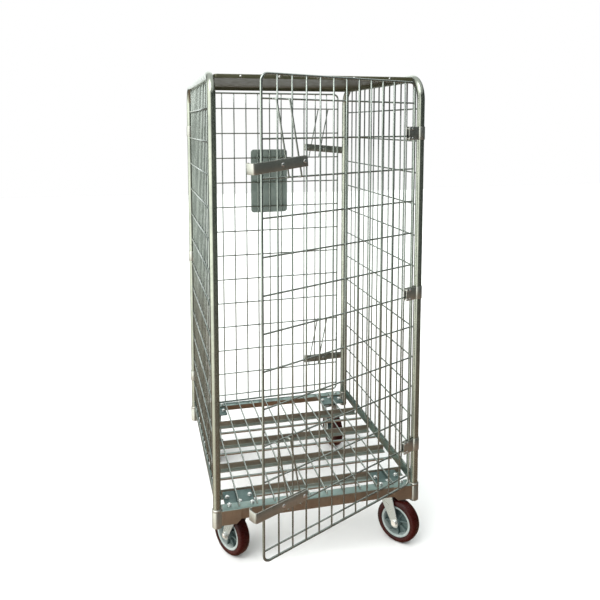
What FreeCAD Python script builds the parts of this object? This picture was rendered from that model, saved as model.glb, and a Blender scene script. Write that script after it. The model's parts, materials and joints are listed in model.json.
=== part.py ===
import FreeCAD, Part
import math
import os

# Roll cage container: a wheeled chassis with two side frames, a roof panel and a
# mesh door at the front and at the rear, each door held by two lift-up latches.
# +X is to the right, +Y to the rear, +Z up. The origin is on the floor, midway
# between the four posts. Doors are built in their own frame: the hinge axis at the
# origin, +X along the door, +Y out of its outer face. Casters: the swivel axis at
# the origin, the wheel trailing along +X.

SIZES = {
    # frame
    "cage_height": 1700, "post_x": 361, "post_y": 430, "post_radius": 13.6,
    "tube_wall": 2, "corner_bend": 80, "post_bottom": 160,
    "socket_radius": 17, "socket_bore": 13.65, "socket_low": 155, "socket_high": 221,
    # chassis
    "deck_top": 218, "beam_face": 442.5, "beam_leg": 38, "beam_flange": 40, "beam_thick": 4,
    "beam_half": 344, "rail_thick": 5, "rail_low": 208, "rail_high": 243,
    "gusset_inner": 279, "gusset_outer": 347, "gusset_low": 166, "gusset_chamfer": 16,
    "bar_leg": 25, "bar_thick": 3, "bar_first": -309, "bar_pitch": 185,
    "tie_radius": 5, "tie_height": 208, "tie_first": -220, "tie_pitch": 184,
    "short_tie_place": -360, "deck_wire_radius": 3, "deck_wire_pitch": 62.9, "deck_wire_end": 423,
    # side mesh and roof
    "wire_radius": 2.75, "side_pitch": 57.333, "row_pitch": 112.5, "side_row_drop": 18,
    "low_side_row": 245.8,
    "roof_x": 347, "roof_y": 395, "roof_top": 1690, "roof_lip": 14, "roof_sheet": 2,
    "roof_rivet_pitch": 130, "roof_rivet_radius": 4,
    # doors
    "front_door_angle": 207.3, "rear_door_angle": 2.9, "frame_wire_radius": 4,
    "door_near": 32, "door_far": 698, "door_low": 224, "door_high": 1667, "door_bend": 22,
    "first_row": 1598, "low_row": 257, "strap_height": 45, "strap_bore": 13.9,
    "strap_thick": 2, "strap_end": 66, "strap_rise": 10, "strap_front": 4, "strap_back": 5.6,
    "strap_rivet_radius": 2.5, "strap_rivet_near": 46, "strap_rivet_far": 60,
    "strap_rivet_above": 15, "strap_rivet_below": 18, "strap_rivet_head": 1.5,
    # latches
    "latch_width": 32, "latch_thick": 3, "latch_outer": 19, "latch_inner": 7.1,
    "latch_bend": 537, "latch_short_end": 652, "latch_tip": 728, "latch_end": 741.6,
    "upper_latch_height": 1416, "lower_latch_height": 387, "upper_latch_tilt": 5,
    "latch_rivet_radius": 3, "latch_rivet_near": 551, "latch_rivet_far": 634.5,
    "latch_rivet_back": 1.2, "latch_rivet_front": 2, "latch_fold_play": 0.02,
    "guide_radius": 2.7, "guide_offset": 13, "guide_lean": 11.5, "guide_near": 559,
    "guide_far": 608, "guide_bend": 6, "guide_end": 0.1,
    # document holder
    "holder_middle": 363, "holder_width": 173, "holder_low": 1118, "holder_height": 293,
    "holder_thick": 3, "holder_corner": 14, "band_half": 14, "band_inset": 12,
    "band_corner": 6, "band_rise": 1.5,
    # casters
    "caster_x": 277, "caster_y": 388, "plate_x": 105, "plate_y": 85, "plate_thick": 5,
    "corner_plate_depth": 119, "corner_plate_near": 318, "corner_plate_thick": 4,
    "plate_top": 210, "bolt_x": 40, "bolt_y": 28, "bolt_radius": 4, "bolt_end": 3,
    "bolt_head": 5, "nut_radius": 7.3, "nut_height": 6,
    "kingpin_radius": 6, "kingpin_head": 9, "kingpin_head_height": 7, "kingpin_gap": 0.3,
    "kingpin_nut_height": 3.5, "kingpin_end": 3, "pin_play": 0.05,
    "wheel_radius": 80, "tyre_width": 45, "rim_radius": 58, "caster_trail": 45,
    "rim_inset": 2, "web_half": 6, "hub_radius": 18, "hub_play": 0.5, "tyre_shoulder": 9,
    "axle_radius": 6, "axle_nut": 10, "axle_head_height": 7, "axle_nut_height": 9,
    "fork_gap": 53, "fork_thick": 4, "fork_top": 186, "fork_back": 28, "fork_front": 31,
    "fork_foot_low": 19, "fork_foot_front": 13, "fork_foot_back": 12, "fork_taper": 3,
    "crown_thick": 6, "race_radius": 30, "race_height": 18.5,
    "front_right_heading": -51, "front_left_heading": 121.5,
    "rear_right_heading": -83, "rear_left_heading": -95,
}

SIDE_UPRIGHTS = 14
ROWS = 12
DOOR_GAPS = 12
STRAP_ROWS = (1, 6, 11)
GUIDE_ROWS = {"upper": 2, "lower": 11}

doc = FreeCAD.newDocument("roll_cage")
sheet = doc.addObject("Spreadsheet::Sheet", "sizes")
for line, (alias, value) in enumerate(SIZES.items(), start=1):
    sheet.set(f"A{line}", alias)
    sheet.set(f"B{line}", str(value))
    sheet.setAlias(f"B{line}", alias)
doc.recompute()
nodes = []

TURNS = {
    "X": FreeCAD.Rotation(FreeCAD.Vector(0, 1, 0), 90),
    "Y": FreeCAD.Rotation(FreeCAD.Vector(1, 0, 0), -90),
    "Z": FreeCAD.Rotation(),
}


def size(alias):
    """A driving dimension as a number."""
    return float(sheet.get(alias))


def expression(text):
    """An expression in which every driving dimension is read from the sheet."""
    words = []
    for word in str(text).split():
        words.append(f"sizes.{word}" if word in SIZES else word)
    return " ".join(words)


def bind(piece, **values):
    """Bind a piece's properties to expressions of driving dimensions."""
    for name, text in values.items():
        piece.setExpression(name, expression(text))


def place(piece, x="0", y="0", z="0", turn=None):
    """Bind where a piece stands, after giving it its fixed turn."""
    if turn is not None:
        piece.Placement = FreeCAD.Placement(FreeCAD.Vector(), turn)
    for axis, text in (("x", x), ("y", y), ("z", z)):
        piece.setExpression(f"Placement.Base.{axis}", expression(text))
    return piece


def rod(along, radius, length, x="0", y="0", z="0"):
    """A round bar that starts at (x, y, z) and runs along an axis."""
    piece = doc.addObject("Part::Cylinder", "rod")
    bind(piece, Radius=radius, Height=length)
    return place(piece, x, y, z, TURNS[along])


def block(length, width, height, x="0", y="0", z="0"):
    """A box from its lowest corner at (x, y, z)."""
    piece = doc.addObject("Part::Box", "block")
    bind(piece, Length=length, Width=width, Height=height)
    return place(piece, x, y, z)


def hexagon(along, radius, height, x="0", y="0", z="0"):
    """A hexagonal nut or bolt head."""
    piece = doc.addObject("Part::Prism", "hexagon")
    piece.Polygon = 6
    bind(piece, Circumradius=radius, Height=height)
    return place(piece, x, y, z, TURNS[along])


def joined(pieces):
    """Several solids fused into one."""
    piece = doc.addObject("Part::MultiFuse", "joined")
    piece.Shapes = pieces
    return piece


def cut(base, tools):
    """A solid with tools taken out of it."""
    piece = doc.addObject("Part::Cut", "cut")
    piece.Base = base
    piece.Tool = group(tools)
    return piece


def group(pieces):
    """Separate solids held together as one object."""
    piece = doc.addObject("Part::Compound", "group")
    piece.Links = pieces
    return piece


def name_node(piece, label):
    """Give a finished sub-part its label and keep it for export."""
    piece.Label = label
    nodes.append(piece)
    return piece


def rounded(points, radii, closed=True):
    """Sketch geometry of a polyline whose corners are arcs of the given radii."""
    count = len(points)
    corners = [FreeCAD.Vector(x, y, 0) for x, y in points]
    entries = []
    for index, corner in enumerate(corners):
        radius = radii[index]
        if radius == 0:
            entries.append((corner, None, corner))
            continue
        back = (corners[index - 1] - corner).normalize()
        ahead = (corners[(index + 1) % count] - corner).normalize()
        half = back.getAngle(ahead) / 2
        reach = radius / math.tan(half)
        bisector = (back + ahead).normalize()
        middle = corner + bisector * (radius / math.sin(half) - radius)
        entries.append((corner + back * reach, middle, corner + ahead * reach))
    shapes = []
    for index, (start, middle, end) in enumerate(entries):
        if middle is not None:
            shapes.append(Part.Arc(start, middle, end))
        if closed or index < count - 1:
            following = entries[(index + 1) % count][0]
            if end.distanceToPoint(following) > 1e-6:
                shapes.append(Part.LineSegment(end, following))
    return shapes


def new_body(label):
    """A PartDesign body."""
    return doc.addObject("PartDesign::Body", label + "_body")


def sketch_on(body, role, geometry, offset=0):
    """A sketch on one of a body's origin planes, moved along the plane's normal."""
    sketch = body.newObject("Sketcher::SketchObject", "outline")
    plane = [item for item in body.Origin.OriginFeatures if item.Role == role][0]
    sketch.AttachmentSupport = (plane, [""])
    sketch.MapMode = "FlatFace"
    sketch.AttachmentOffset = FreeCAD.Placement(FreeCAD.Vector(0, 0, offset), FreeCAD.Rotation())
    sketch.addGeometry(geometry, False)
    return sketch


def circle(x, y, radius):
    """A sketch circle."""
    return Part.Circle(FreeCAD.Vector(x, y, 0), FreeCAD.Vector(0, 0, 1), radius)


def pad(body, sketch, length, midplane=False, reverse=False):
    """Extrude a sketch by a bound length."""
    feature = body.newObject("PartDesign::Pad", "pad")
    feature.Profile = sketch
    feature.Midplane = midplane
    feature.Reversed = reverse
    bind(feature, Length=length)
    return feature


def drill(body, sketch):
    """Cut a sketch through the whole body, both ways."""
    doc.recompute()
    before = body.Shape.Volume
    feature = body.newObject("PartDesign::Pocket", "holes")
    feature.Profile = sketch
    feature.Type = 1
    feature.Midplane = True
    doc.recompute()
    if body.Shape.Volume >= before:
        raise RuntimeError(body.Name + ": a pocket cut nothing")
    return feature


def pipe(body, profile, path):
    """Sweep a profile along a path."""
    feature = body.newObject("PartDesign::AdditivePipe", "pipe")
    feature.Profile = profile
    feature.Spine = (path, [])
    return feature


# ---------------------------------------------------------------- chassis

def build_beams():
    """Angle-section cross beams at the front and the rear."""
    for label, side in (("front_beam", -1), ("rear_beam", 1)):
        face = size("beam_face")
        inner = face - size("beam_flange")
        thick = size("beam_thick")
        top = size("deck_top")
        low = top - size("beam_leg")
        outline = [(face, low), (face, top), (inner, top), (inner, top - thick),
                   (face - thick, top - thick), (face - thick, low)]
        outline = [(side * across, height) for across, height in outline]
        body = new_body(label)
        sketch = sketch_on(body, "YZ_Plane", rounded(outline, [0, 3, 0, 0, 1, 0]))
        pad(body, sketch, "2 * beam_half", midplane=True)
        row = side * (size("caster_y") + size("bolt_y"))
        places = [corner * size("caster_x") + across * size("bolt_x")
                  for corner in (-1, 1) for across in (-1, 1)]
        drill(body, sketch_on(body, "XY_Plane", [circle(across, row, size("bolt_radius"))
                                                 for across in places]))
        name_node(body, label)


def build_chassis():
    """Side rails, post sockets, gussets, deck bars and deck wires."""
    for label, side in (("left_side_rail", -1), ("right_side_rail", 1)):
        rail = block("rail_thick", "2 * ( post_y - socket_radius )", "rail_high - rail_low",
                     f"{side} * post_x - rail_thick / 2", "socket_radius - post_y", "rail_low")
        name_node(rail, label)

    sockets = []
    gussets = []
    for side in (-1, 1):
        for end in (-1, 1):
            sleeve = rod("Z", "socket_radius", "socket_high - socket_low",
                         f"{side} * post_x", f"{end} * post_y", "socket_low")
            bore = rod("Z", "socket_bore", "socket_high - socket_low + 2",
                       f"{side} * post_x", f"{end} * post_y", "socket_low - 1")
            sockets.append(cut(sleeve, [bore]))
            inner = size("gusset_inner")
            outer = size("gusset_outer")
            low = size("gusset_low")
            chamfer = size("gusset_chamfer")
            outline = [(inner, size("deck_top")), (inner, low + chamfer), (inner + chamfer, low),
                       (outer, low), (outer, size("deck_top"))]
            outline = [(side * across, height) for across, height in outline]
            body = new_body("gusset")
            sketch = sketch_on(body, "XZ_Plane", rounded(outline, [0, 0, 0, 0, 0]))
            pad(body, sketch, "beam_thick", reverse=end > 0)
            place(body, y=f"{end} * beam_face")
            gussets.append(body)
    name_node(group(sockets), "post_sockets")
    name_node(group(gussets), "corner_gussets")

    bars = []
    span = "2 * post_x - rail_thick"
    left = "rail_thick / 2 - post_x"
    for step in range(4):
        back = f"bar_first + {step} * bar_pitch"
        upright = block(span, "bar_thick", "bar_leg", left, f"{back} - bar_thick",
                        "deck_top - bar_leg")
        foot = block(span, "bar_leg", "bar_thick", left, f"{back} - bar_leg",
                     "deck_top - bar_leg")
        bars.append(joined([upright, foot]))
    name_node(group(bars), "deck_cross_bars")

    ties = [rod("X", "tie_radius", span, left, f"tie_first + {step} * tie_pitch", "tie_height")
            for step in range(3)]
    ties.append(rod("X", "tie_radius", "2 * ( caster_x - plate_x / 2 )",
                    "plate_x / 2 - caster_x", "short_tie_place", "tie_height"))
    name_node(group(ties), "deck_tie_rods")

    wires = [rod("Y", "deck_wire_radius", "2 * deck_wire_end",
                 f"{step - 4.5} * deck_wire_pitch", "0 - deck_wire_end",
                 "deck_top + deck_wire_radius") for step in range(10)]
    name_node(group(wires), "deck_wires")


# ---------------------------------------------------------------- side frames and roof

def build_side_frame(label, side):
    """An inverted U of tube: front post, top rail and rear post in one piece."""
    reach = size("post_y")
    top = size("cage_height") - size("post_radius")
    low = size("post_bottom")
    bend = size("corner_bend")
    body = new_body(label)
    path = sketch_on(body, "YZ_Plane", rounded(
        [(-reach, low), (-reach, top), (reach, top), (reach, low)], [0, bend, bend, 0],
        closed=False))
    outer = size("post_radius")
    profile = sketch_on(body, "XY_Plane", [circle(0, -reach, outer),
                                           circle(0, -reach, outer - size("tube_wall"))], low)
    pipe(body, profile, path)
    place(body, x=f"{side} * post_x")
    name_node(body, label)


def build_side_mesh(word, side):
    """Welded wire mesh: uprights on the inner side, standing on the rail, rows outside."""
    uprights = []
    wire = size("wire_radius")
    hang = math.sqrt(size("post_radius") ** 2 - wire ** 2)
    straight = size("post_y") - size("corner_bend")
    inside = size("corner_bend") - hang
    for step in range(SIDE_UPRIGHTS):
        steps_off = step - (SIDE_UPRIGHTS - 1) / 2
        past = max(0, abs(steps_off) * size("side_pitch") - straight)
        drop = round(inside - math.sqrt(inside ** 2 - past ** 2) + 1, 1)
        uprights.append(rod(
            "Z", "wire_radius", f"cage_height - 2 * post_radius - rail_high - {drop}",
            f"{side} * ( post_x - wire_radius )", f"{steps_off} * side_pitch", "rail_high"))
    name_node(group(uprights), word + "_side_uprights")

    heights = [f"first_row - side_row_drop - {step} * row_pitch" for step in range(ROWS)]
    heights.append("low_side_row")
    rows = [rod("Y", "wire_radius", "2 * ( post_y - post_radius )",
                f"{side} * ( post_x + wire_radius )", "post_radius - post_y", height)
            for height in heights]
    name_node(group(rows), word + "_side_rows")


def build_roof():
    """A pressed tray between the side frames, lips down, riveted along two lips."""
    tray = block("2 * roof_x", "2 * roof_y", "roof_lip", "0 - roof_x", "0 - roof_y",
                 "roof_top - roof_lip")
    hollow = block("2 * ( roof_x - roof_sheet )", "2 * ( roof_y - roof_sheet )", "roof_lip",
                   "roof_sheet - roof_x", "roof_sheet - roof_y",
                   "roof_top - roof_lip - roof_sheet")
    name_node(cut(tray, [hollow]), "roof_panel")

    rivets = []
    for start in ("0 - roof_y - roof_sheet", "roof_y"):
        for step in range(-2, 3):
            rivets.append(rod("Y", "roof_rivet_radius", "roof_sheet",
                              f"{step} * roof_rivet_pitch", start, "roof_top - roof_lip / 2"))
    name_node(group(rivets), "roof_rivets")


# ---------------------------------------------------------------- doors

def hang_on_post(piece, word):
    """Place a door piece on its hinge post, at the door's angle."""
    side = {"front": 1, "rear": -1}[word]
    place(piece, f"{side} * post_x", f"{-side} * post_y", "0",
          FreeCAD.Rotation(FreeCAD.Vector(0, 0, 1), size(word + "_door_angle")))
    bind(piece, **{"Placement.Rotation.Angle": word + "_door_angle"})
    return piece


def row_height(step):
    """Height of a door's row, counted down from the first."""
    return f"first_row - {step} * row_pitch"


def build_door_frame(word):
    """The door's outer ring, one bent rod."""
    near = size("door_near")
    far = size("door_far")
    low = size("door_low")
    high = size("door_high")
    bend = size("door_bend")
    label = word + "_door_frame"
    body = new_body(label)
    path = sketch_on(body, "XZ_Plane", rounded(
        [(near, low), (near, high), (far, high), (far, low)], [bend] * 4))
    middle = (near + far) / 2
    profile = sketch_on(body, "YZ_Plane", [circle(0, low, size("frame_wire_radius"))], middle)
    pipe(body, profile, path)
    name_node(hang_on_post(body, word), label)


def build_door_mesh(word):
    """Uprights in front of the rows; both end on the ring."""
    gap = f"( door_far - door_near ) / {DOOR_GAPS}"
    uprights = [rod("Z", "wire_radius", "door_high - door_low - 2 * frame_wire_radius",
                    f"door_near + {step} * {gap}", "wire_radius",
                    "door_low + frame_wire_radius") for step in range(1, DOOR_GAPS)]
    name_node(hang_on_post(group(uprights), word), word + "_door_uprights")

    heights = [row_height(step) for step in range(ROWS)] + ["low_row"]
    rows = [rod("X", "wire_radius", "door_far - door_near - 2 * frame_wire_radius",
                "door_near + frame_wire_radius", "0 - wire_radius", height)
            for height in heights]
    name_node(hang_on_post(group(rows), word), word + "_door_rows")


def strap_outline():
    """A strip looped round the post, with its two ends along the mesh."""
    bore = size("strap_bore")
    outer = bore + size("strap_thick")
    end = size("strap_end")
    front = size("strap_front")
    back = -size("strap_back")
    front_face = front + size("strap_thick")
    back_face = back - size("strap_thick")

    def on_circle(radius, height):
        return FreeCAD.Vector(math.sqrt(radius ** 2 - height ** 2), height, 0)

    corners = [FreeCAD.Vector(end, front_face, 0), on_circle(outer, front_face),
               on_circle(outer, back_face), FreeCAD.Vector(end, back_face, 0),
               FreeCAD.Vector(end, back, 0), on_circle(bore, back), on_circle(bore, front),
               FreeCAD.Vector(end, front, 0)]
    return [Part.LineSegment(corners[0], corners[1]),
            Part.Arc(corners[1], FreeCAD.Vector(-outer, 0, 0), corners[2]),
            Part.LineSegment(corners[2], corners[3]),
            Part.LineSegment(corners[3], corners[4]),
            Part.LineSegment(corners[4], corners[5]),
            Part.Arc(corners[5], FreeCAD.Vector(-bore, 0, 0), corners[6]),
            Part.LineSegment(corners[6], corners[7]),
            Part.LineSegment(corners[7], corners[0])]


def rivet(radius, x, start, end, z, near_head, far_head):
    """A rivet along Y with a head outside each end of its grip."""
    grip = rod("Y", radius, f"{end} - ( {start} )", x, start, z)
    first = rod("Y", f"2 * {radius}", near_head, x, f"{start} - {near_head}", z)
    second = rod("Y", f"2 * {radius}", far_head, x, end, z)
    return joined([grip, first, second])


def build_hinge_straps(word):
    """Three looped straps round the hinge post and the rivets that close them."""
    straps = []
    rivets = []
    rises = (size("strap_rivet_above"), -size("strap_rivet_below"))
    places = [(along, rise) for along in ("strap_rivet_near", "strap_rivet_far")
              for rise in rises]
    for step in STRAP_ROWS:
        body = new_body("strap")
        pad(body, sketch_on(body, "XY_Plane", strap_outline()), "strap_height", midplane=True)
        holes = [circle(size(along), rise, size("strap_rivet_radius")) for along, rise in places]
        drill(body, sketch_on(body, "XZ_Plane", holes))
        middle = f"{row_height(step)} + strap_rise"
        straps.append(place(body, z=middle))
        for along, rise in places:
            rivets.append(rivet("strap_rivet_radius", along, "0 - strap_back - strap_thick",
                                "strap_front + strap_thick", f"{middle} + {rise}",
                                "strap_rivet_head", "strap_rivet_head"))
    name_node(hang_on_post(group(straps), word), word + "_door_hinge_straps")
    name_node(hang_on_post(group(rivets), word), word + "_door_hinge_rivets")


def build_guide_rods(word):
    """Leaning staples on the door's mesh that the latches slide along."""
    offset = size("guide_offset")
    end = size("guide_end")
    bend = size("guide_bend")
    length = 2 * size("row_pitch") / math.cos(math.radians(size("guide_lean")))
    lean = FreeCAD.Rotation(FreeCAD.Vector(0, 1, 0), size("guide_lean"))
    staples = []
    for step in GUIDE_ROWS.values():
        for foot in ("guide_near", "guide_far"):
            body = new_body("guide")
            path = sketch_on(body, "YZ_Plane", rounded(
                [(end, 0), (offset, 0), (offset, length), (end, length)], [0, bend, bend, 0],
                closed=False))
            profile = sketch_on(body, "XZ_Plane", [circle(0, 0, size("guide_radius"))], -end)
            pipe(body, profile, path)
            staples.append(place(body, foot, "0", row_height(step), lean))
    name_node(hang_on_post(group(staples), word), word + "_door_guide_rods")


def latch_outline():
    """A strip folded back on itself at one end and hooked at the other."""
    thick = size("latch_thick")
    outer = size("latch_outer")
    inner = size("latch_inner")
    bend = size("latch_bend")
    end = size("latch_end")
    tip = size("latch_tip")
    short = size("latch_short_end")
    fold = (outer - inner) / 2 - size("latch_fold_play")
    hook = 2 * thick
    points = [(short, inner), (bend, inner), (bend, outer), (end, outer), (end, -outer),
              (tip, -outer), (tip, thick - outer), (end - thick, thick - outer),
              (end - thick, outer - thick), (bend + thick, outer - thick),
              (bend + thick, inner + thick), (short, inner + thick)]
    radii = [0, fold, fold, hook, hook, 0, 0, hook - thick, hook - thick, fold - thick,
             fold - thick, 0]
    return rounded(points, radii)


def build_latch(word, level):
    """One sliding latch and the two rivets that hold its fold closed."""
    label = f"{word}_{level}_latch"
    middle = (size("guide_near") + size("guide_far")) / 2
    holes = ("latch_rivet_near", "latch_rivet_far")
    strip = new_body(label)
    pad(strip, sketch_on(strip, "XY_Plane", latch_outline()), "latch_width", midplane=True)
    drill(strip, sketch_on(strip, "XZ_Plane", [circle(size(along), 0, size("latch_rivet_radius"))
                                               for along in holes]))
    rivets = group([rivet("latch_rivet_radius", along, "latch_inner", "latch_outer", "0",
                          "latch_rivet_back", "latch_rivet_front") for along in holes])
    tilt = size("upper_latch_tilt") if level == "upper" else 0
    turn = FreeCAD.Rotation(FreeCAD.Vector(0, 1, 0), tilt)
    droop = round(middle * math.sin(math.radians(tilt)), 1)
    shift = round(middle * (1 - math.cos(math.radians(tilt))), 1)
    for piece, name in ((strip, label), (rivets, label + "_rivets")):
        place(piece, str(shift), "0", f"{level}_latch_height + {droop}", turn)
        name_node(hang_on_post(group([piece]), word), name)


def build_document_holder():
    """A thin rounded plate with two raised bands, on the rear door's outer face."""
    middle = size("holder_middle")
    half = size("holder_width") / 2
    low = size("holder_low")
    high = low + size("holder_height")
    body = new_body("document_holder")
    plate = rounded([(middle - half, low), (middle + half, low), (middle + half, high),
                     (middle - half, high)], [size("holder_corner")] * 4)
    face = 2 * size("wire_radius")
    pad(body, sketch_on(body, "XZ_Plane", plate, -face), "holder_thick", reverse=True)
    low += size("band_inset")
    high -= size("band_inset")
    for side in (-1, 1):
        left = middle + side * half / 2 - size("band_half")
        right = left + 2 * size("band_half")
        outline = rounded([(left, low), (right, low), (right, high), (left, high)],
                          [size("band_corner")] * 4)
        pad(body, sketch_on(body, "XZ_Plane", outline, -face), "holder_thick + band_rise",
            reverse=True)
    name_node(hang_on_post(body, "rear"), "document_holder")


# ---------------------------------------------------------------- casters

CORNERS = {"front_right": (1, -1), "front_left": (-1, -1), "rear_right": (1, 1),
           "rear_left": (-1, 1)}


def build_caster_mounts():
    """Corner plates under the beams, caster top plates, their bolts and kingpins."""
    corner_plates = []
    top_plates = []
    bolts = []
    kingpins = []
    for side, end in CORNERS.values():
        axis_x = f"{side} * caster_x"
        axis_y = f"{end} * caster_y"
        near = "0" if end > 0 else "corner_plate_depth"
        plate = block("plate_x", "corner_plate_depth", "corner_plate_thick",
                      f"{axis_x} - plate_x / 2", f"{end} * corner_plate_near - {near}", "plate_top")
        top = block("plate_x", "plate_y", "plate_thick", f"{axis_x} - plate_x / 2",
                    f"{axis_y} - plate_y / 2", "plate_top - plate_thick")
        under = "( plate_top - plate_thick )"
        through = "2 * ( plate_thick + corner_plate_thick )"
        start = f"{under} - plate_thick"
        holes = [rod("Z", "kingpin_radius", through, axis_x, axis_y, start)]
        for across in (-1, 1):
            for along in (-1, 1):
                bolt_x = f"{axis_x} + {across} * bolt_x"
                bolt_y = f"{axis_y} + {along} * bolt_y"
                holes.append(rod("Z", "bolt_radius", through, bolt_x, bolt_y, start))
                on_flange = along == end
                seat = "deck_top" if on_flange else "( plate_top + corner_plate_thick )"
                shank = rod("Z", "bolt_radius", f"{seat} - {under} + nut_height + bolt_end",
                            bolt_x, bolt_y, under)
                head = hexagon("Z", "nut_radius", "bolt_head", bolt_x, bolt_y,
                               f"{under} - bolt_head")
                nut = hexagon("Z", "nut_radius", "nut_height", bolt_x, bolt_y, seat)
                bolts.append(joined([shank, head, nut]))
        corner_plates.append(cut(plate, [group(holes)]))
        top_plates.append(cut(top, [group(holes)]))
        nut_seat = "plate_top + corner_plate_thick"
        pin_low = "fork_top - crown_thick - kingpin_gap"
        pin = rod("Z", "kingpin_radius", f"{nut_seat} - ( {pin_low} ) + kingpin_end",
                  axis_x, axis_y, pin_low)
        pin_head = rod("Z", "kingpin_head", "kingpin_head_height", axis_x, axis_y,
                       f"{pin_low} - kingpin_head_height")
        pin_nut = rod("Z", "kingpin_head", "kingpin_nut_height", axis_x, axis_y, nut_seat)
        kingpins.append(joined([pin, pin_head, pin_nut]))
    name_node(group(corner_plates), "corner_plates")
    name_node(group(top_plates), "caster_top_plates")
    name_node(group(bolts), "caster_bolts")
    name_node(group(kingpins), "caster_kingpins")


def stand_on_axis(piece, corner, out="0", height="0"):
    """Place a caster piece, out along the caster's heading and up from the floor."""
    side, end = CORNERS[corner]
    heading = corner + "_heading"
    place(piece, f"{side} * caster_x + {out} * cos( {heading} * 1deg )",
          f"{end} * caster_y + {out} * sin( {heading} * 1deg )", height,
          FreeCAD.Rotation(FreeCAD.Vector(0, 0, 1), size(heading)))
    bind(piece, **{"Placement.Rotation.Angle": heading})
    return piece


def build_fork(corner):
    """Two tapering legs under a crown, with the swivel race on top."""
    trail = size("caster_trail")
    axle = size("wheel_radius")
    top = size("fork_top")
    under = top - size("crown_thick")
    half_gap = size("fork_gap") / 2
    label = f"caster_{corner}_fork"
    body = new_body(label)
    foot_front = trail + size("fork_foot_front")
    foot_back = trail - size("fork_foot_back")
    foot_low = axle - size("fork_foot_low")
    taper = size("fork_taper")
    legs = rounded([(-size("fork_back"), top), (size("fork_front"), top),
                    (foot_front + taper, axle), (foot_front, foot_low),
                    (foot_back, foot_low), (foot_back - taper, axle)], [6, 6, 30, 12, 12, 30])
    pad(body, sketch_on(body, "XZ_Plane", legs), "fork_gap + 2 * fork_thick", midplane=True)
    slot = rounded([(-half_gap, 0), (half_gap, 0), (half_gap, under), (-half_gap, under)],
                   [0, 0, 5, 5])
    drill(body, sketch_on(body, "YZ_Plane", slot))
    race = sketch_on(body, "XY_Plane", [circle(0, 0, size("race_radius"))], top)
    pad(body, race, "race_height")
    bore = size("kingpin_radius") + size("pin_play")
    drill(body, sketch_on(body, "XY_Plane", [circle(0, 0, bore)]))
    drill(body, sketch_on(body, "XZ_Plane", [circle(trail, axle, size("axle_radius"))]))
    name_node(stand_on_axis(body, corner), label)


def revolve(body, outline):
    """Turn an outline of (radius, along) points round the body's own Y axis."""
    sketch = sketch_on(body, "XY_Plane", outline)
    feature = body.newObject("PartDesign::Revolution", "turned")
    feature.Profile = sketch
    feature.ReferenceAxis = (sketch, ["V_Axis"])
    feature.Angle = 360


def build_wheel(corner):
    """Core with hub, web and rim, the tyre round it, and the axle bolt."""
    bore = size("axle_radius") + size("pin_play")
    rim = size("rim_radius")
    hub = size("fork_gap") / 2 - size("hub_play")
    hub_edge = size("hub_radius")
    web = size("web_half")
    tread = size("tyre_width") / 2
    rim_edge = tread - size("rim_inset")
    half = [(bore, hub), (hub_edge, hub), (hub_edge + web / 2, web), (rim - 1.5 * web, web),
            (rim - web, rim_edge), (rim, rim_edge)]
    mirror = [(radius, -along) for radius, along in reversed(half)]
    core = new_body("core")
    revolve(core, rounded(half + mirror, [0, 2, 6, 4, 0, 0, 0, 0, 4, 6, 2, 0]))
    name_node(stand_on_axis(core, corner, "caster_trail", "wheel_radius"),
              f"caster_{corner}_wheel_core")

    tyre = new_body("tyre")
    outer = size("wheel_radius")
    shoulder = size("tyre_shoulder")
    revolve(tyre, rounded([(rim, tread), (outer, tread), (outer, -tread), (rim, -tread)],
                          [3, shoulder, shoulder, 3]))
    name_node(stand_on_axis(tyre, corner, "caster_trail", "wheel_radius"),
              f"caster_{corner}_tyre")

    half_width = "fork_gap / 2 + fork_thick"
    shank = rod("Y", "axle_radius", f"2 * ( {half_width} )", y=f"0 - ( {half_width} )")
    head = hexagon("Y", "axle_nut", "axle_head_height",
                   y=f"0 - ( {half_width} ) - axle_head_height")
    nut = hexagon("Y", "axle_nut", "axle_nut_height", y=half_width)
    axle = joined([shank, head, nut])
    name_node(stand_on_axis(axle, corner, "caster_trail", "wheel_radius"),
              f"caster_{corner}_axle")


def export():
    """Check every object, then write one file for each sub-part."""
    doc.recompute()
    for item in doc.Objects:
        if "Invalid" in item.State or "Error" in item.State:
            raise RuntimeError(f"{item.Name} failed: {item.State}")
    for node in nodes:
        if node.Shape.isNull() or not node.Shape.isValid():
            raise RuntimeError(node.Label + ": bad shape")
    os.makedirs("parts", exist_ok=True)
    for node in nodes:
        node.Shape.exportStep(f"parts/{node.Label}.step")
        print(f"{node.Label}: {len(node.Shape.Solids)} solids, {node.Shape.Volume:.0f} mm3")


build_beams()
build_chassis()
build_side_frame("left_side_frame", -1)
build_side_frame("right_side_frame", 1)
build_side_mesh("left", -1)
build_side_mesh("right", 1)
build_roof()
for door in ("front", "rear"):
    build_door_frame(door)
    build_door_mesh(door)
    build_hinge_straps(door)
    build_guide_rods(door)
    build_latch(door, "upper")
    build_latch(door, "lower")
build_document_holder()
build_caster_mounts()
for place_name in CORNERS:
    build_fork(place_name)
    build_wheel(place_name)
export()
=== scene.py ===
import json
import math
import random

import bpy
from mathutils import Matrix, Vector


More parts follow.
